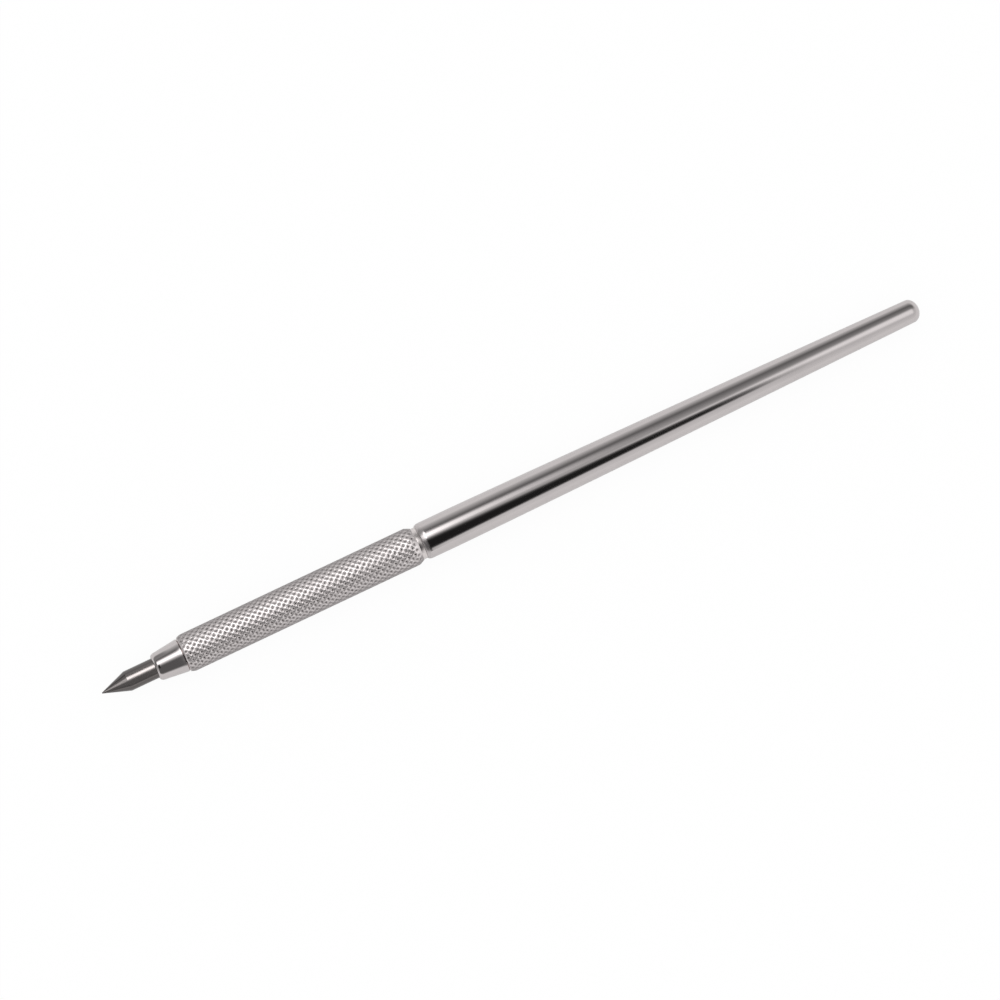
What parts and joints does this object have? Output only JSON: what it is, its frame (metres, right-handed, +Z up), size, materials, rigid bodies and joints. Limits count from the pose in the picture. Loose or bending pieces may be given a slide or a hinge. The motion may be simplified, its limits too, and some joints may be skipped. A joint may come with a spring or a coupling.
{
  "type": "carbide scriber",
  "caption": "Pencil-like metal scriber: a ground carbide point in a screwed holder, a diamond-knurled grip and a slim tapered handle with a domed tail, for scratching layout lines on metal.",
  "frame": {"origin": "on the surface that the tool lies on, below the middle of its length", "axes": "+X along the tool from its point to its tail, +Z up from the surface that it lies on"},
  "size_m": [0.15, 0.0066, 0.0066],
  "materials": {
    "carbide": "ground grey carbide, fine grinding lines",
    "polished_nose": "turned and polished plating",
    "knurled_steel": "satin plating over a formed diamond knurl",
    "stud_steel": "dark oiled steel",
    "polished_handle": "mirror polished plating"
  },
  "bodies": {
    "grip": {"knurled_grip": "knurled_steel"},
    "point": {"carbide_point": "carbide"},
    "holder": {"point_holder": "polished_nose"},
    "stud": {"joining_stud": "stud_steel"},
    "handle": {"handle": "polished_handle"}
  },
  "joints": [
    {"name": "point_travel", "type": "slide", "parent": "grip", "child": "point", "axis": [-1, 0, 0], "range_m": [0, 0.007]},
    {"name": "holder_turn", "type": "hinge", "parent": "point", "child": "holder", "pos_m": [-0.0603, 0, 0.00329], "axis": [-1, 0, 0], "range_deg": [0, 3600]},
    {"name": "stud_travel", "type": "slide", "parent": "grip", "child": "stud", "axis": [1, 0, 0], "range_m": [0, 0.0063]},
    {"name": "handle_turn", "type": "hinge", "parent": "stud", "child": "handle", "pos_m": [-0.0166, 0, 0.00329], "axis": [1, 0, 0], "range_deg": [0, 3240]}
  ],
  "couplings": [
    {"joint": "holder_turn", "follows": "point_travel", "rad_per_m": 8976},
    {"joint": "handle_turn", "follows": "stud_travel", "rad_per_m": 8976}
  ]
}
